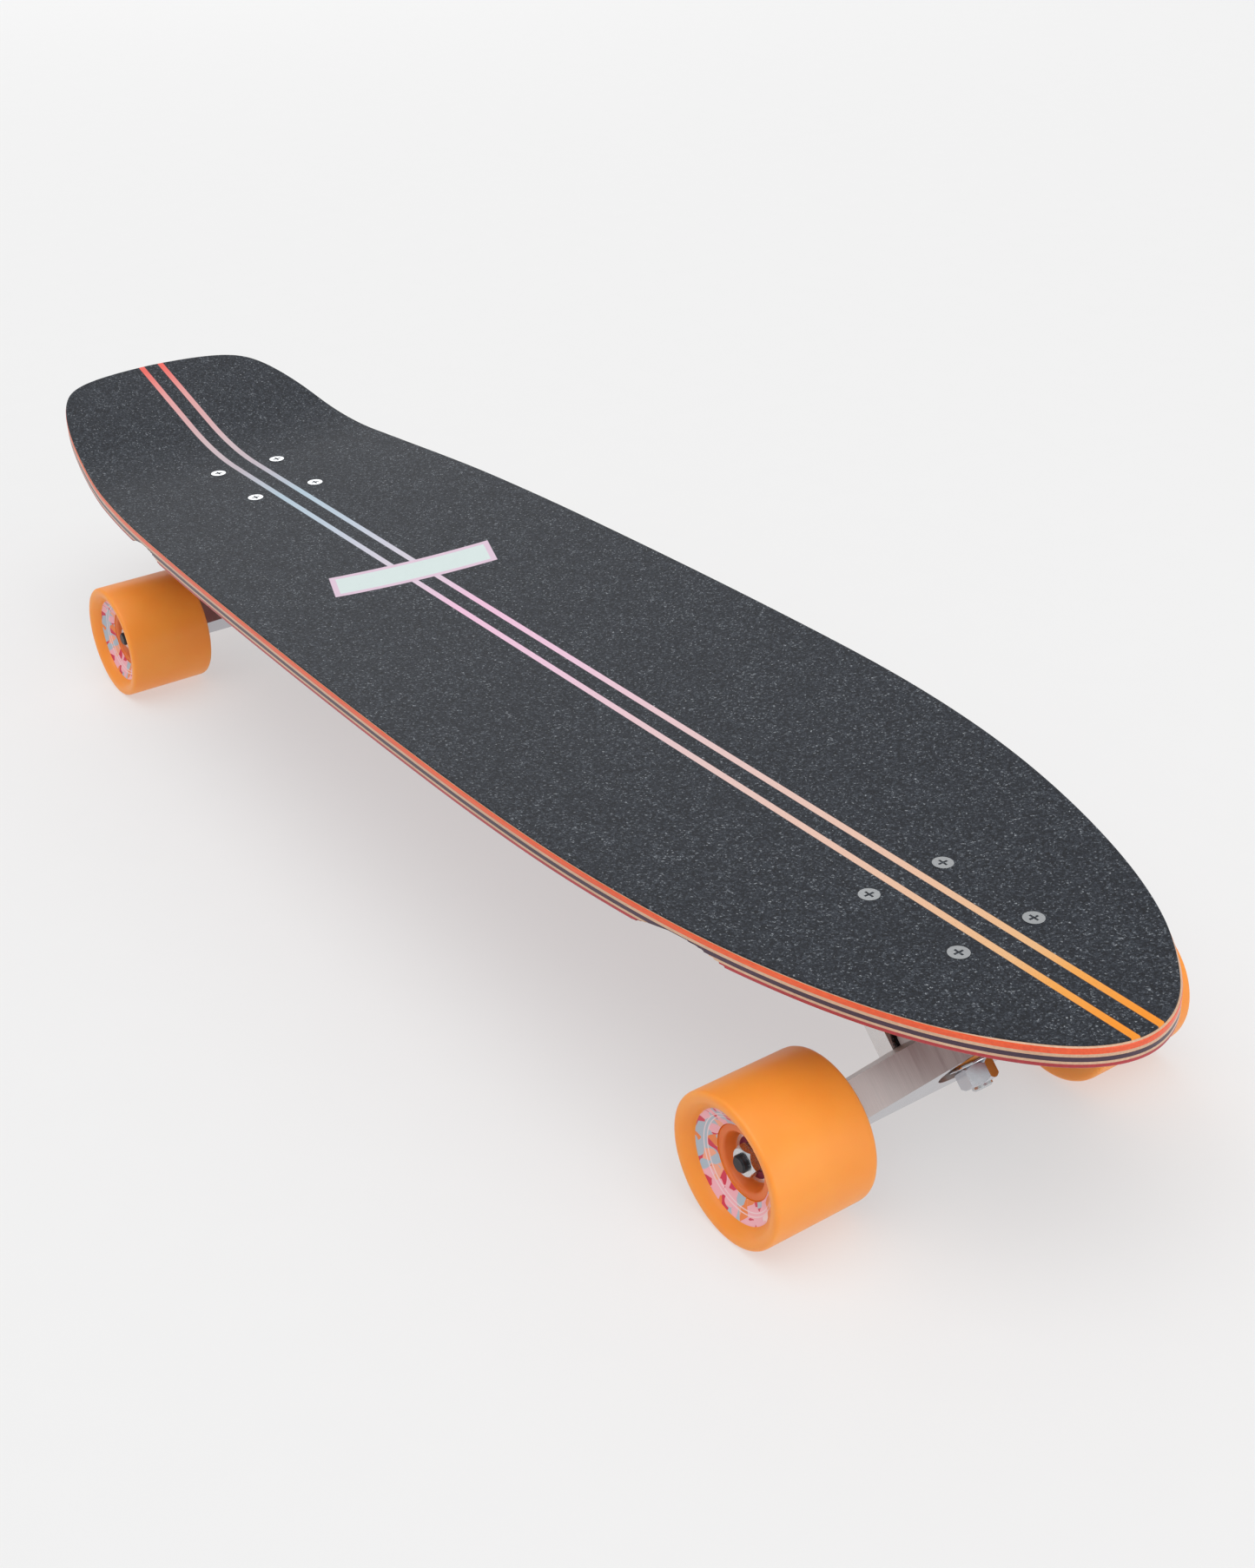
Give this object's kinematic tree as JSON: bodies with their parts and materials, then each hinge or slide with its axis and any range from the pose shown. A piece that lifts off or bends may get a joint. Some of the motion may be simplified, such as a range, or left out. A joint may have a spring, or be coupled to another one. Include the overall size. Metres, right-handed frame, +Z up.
{
  "type": "cruiser skateboard",
  "caption": "Kicktail cruiser skateboard: concave laminated deck with grip tape on two reverse-kingpin leaning trucks with soft wheels on ball bearings.",
  "frame": {"origin": "on the ground under the middle of the deck's length and width", "axes": "+X to the nose, +Y to the rider's left when facing the nose, +Z up"},
  "size_m": [0.9145, 0.236, 0.1473],
  "materials": {
    "grip": "coarse mineral grit in black resin",
    "natural_veneer": "sanded and clear sealed",
    "orange_veneer": "dyed, clear sealed",
    "purple_veneer": "dyed, clear sealed",
    "crimson_veneer": "dyed, clear sealed",
    "riser_rubber": "matt moulded",
    "cast_aluminium": "tumbled and polished",
    "brushed_aluminium": "linished front face, polished edges",
    "zinc_steel": "bright zinc plated",
    "chrome_steel": "bright plated",
    "black_steel": "black oxide",
    "bushing_urethane": "cast urethane, satin",
    "pivot_urethane": "moulded urethane",
    "wheel_urethane": "cast urethane, satin, printed ring",
    "core_plastic": "moulded hub",
    "bearing_steel": "ground",
    "ball_steel": "polished",
    "shield_lacquer": "lacquered steel",
    "spacer_aluminium": "turned"
  },
  "bodies": {
    "board": {"grip_tape": "grip", "deck_ply_1": "natural_veneer", "deck_ply_2": "orange_veneer", "deck_ply_3": "orange_veneer", "deck_ply_4": "natural_veneer", "deck_ply_5": "purple_veneer", "deck_ply_6": "natural_veneer", "deck_ply_7": "crimson_veneer", "front_riser_pad": "riser_rubber", "front_deck_bolts": "zinc_steel", "front_deck_nuts": "zinc_steel", "front_baseplate": "cast_aluminium", "front_pivot_cup": "pivot_urethane", "front_kingpin": "zinc_steel", "front_kingpin_nut": "chrome_steel", "front_bushing_washers": "chrome_steel", "front_boardside_bushing": "bushing_urethane", "front_roadside_bushing": "bushing_urethane", "rear_riser_pad": "riser_rubber", "rear_deck_bolts": "zinc_steel", "rear_deck_nuts": "zinc_steel", "rear_baseplate": "cast_aluminium", "rear_pivot_cup": "pivot_urethane", "rear_kingpin": "zinc_steel", "rear_kingpin_nut": "chrome_steel", "rear_bushing_washers": "chrome_steel", "rear_boardside_bushing": "bushing_urethane", "rear_roadside_bushing": "bushing_urethane"},
    "front_truck": {"front_hanger": "brushed_aluminium", "front_axle": "black_steel", "front_axle_nuts": "zinc_steel", "front_speed_rings": "zinc_steel", "front_bearing_inner_races": "bearing_steel", "front_bearing_spacers": "spacer_aluminium"},
    "front_left_wheel": {"front_left_wheel_tyre": "wheel_urethane", "front_left_wheel_core": "core_plastic", "front_left_wheel_outer_races": "bearing_steel", "front_left_wheel_bearing_balls": "ball_steel", "front_left_wheel_bearing_shields": "shield_lacquer"},
    "front_right_wheel": {"front_right_wheel_tyre": "wheel_urethane", "front_right_wheel_core": "core_plastic", "front_right_wheel_outer_races": "bearing_steel", "front_right_wheel_bearing_balls": "ball_steel", "front_right_wheel_bearing_shields": "shield_lacquer"},
    "rear_truck": {"rear_hanger": "brushed_aluminium", "rear_axle": "black_steel", "rear_axle_nuts": "zinc_steel", "rear_speed_rings": "zinc_steel", "rear_bearing_inner_races": "bearing_steel", "rear_bearing_spacers": "spacer_aluminium"},
    "rear_left_wheel": {"rear_left_wheel_tyre": "wheel_urethane", "rear_left_wheel_core": "core_plastic", "rear_left_wheel_outer_races": "bearing_steel", "rear_left_wheel_bearing_balls": "ball_steel", "rear_left_wheel_bearing_shields": "shield_lacquer"},
    "rear_right_wheel": {"rear_right_wheel_tyre": "wheel_urethane", "rear_right_wheel_core": "core_plastic", "rear_right_wheel_outer_races": "bearing_steel", "rear_right_wheel_bearing_balls": "ball_steel", "rear_right_wheel_bearing_shields": "shield_lacquer"}
  },
  "joints": [
    {"name": "front_truck_lean", "type": "hinge", "parent": "board", "child": "front_truck", "pos_m": [0.3501, 0, 0.06115], "axis": [0.7071, 0, 0.7071], "range_deg": [-15, 15], "stiffness_Nm_per_rad": 40, "deforming": ["front_boardside_bushing", "front_roadside_bushing"]},
    {"name": "front_left_wheel_spin", "type": "hinge", "parent": "front_truck", "child": "front_left_wheel", "pos_m": [0.3477, 0.0925, 0.0347], "axis": [0, 1, 0], "continuous": true},
    {"name": "front_right_wheel_spin", "type": "hinge", "parent": "front_truck", "child": "front_right_wheel", "pos_m": [0.3477, -0.0925, 0.0347], "axis": [0, 1, 0], "continuous": true},
    {"name": "rear_truck_lean", "type": "hinge", "parent": "board", "child": "rear_truck", "pos_m": [-0.2877, 0, 0.06115], "axis": [-0.7071, 0, 0.7071], "range_deg": [-15, 15], "stiffness_Nm_per_rad": 40, "deforming": ["rear_boardside_bushing", "rear_roadside_bushing"]},
    {"name": "rear_left_wheel_spin", "type": "hinge", "parent": "rear_truck", "child": "rear_left_wheel", "pos_m": [-0.2853, 0.0925, 0.0347], "axis": [0, 1, 0], "continuous": true},
    {"name": "rear_right_wheel_spin", "type": "hinge", "parent": "rear_truck", "child": "rear_right_wheel", "pos_m": [-0.2853, -0.0925, 0.0347], "axis": [0, 1, 0], "continuous": true}
  ]
}
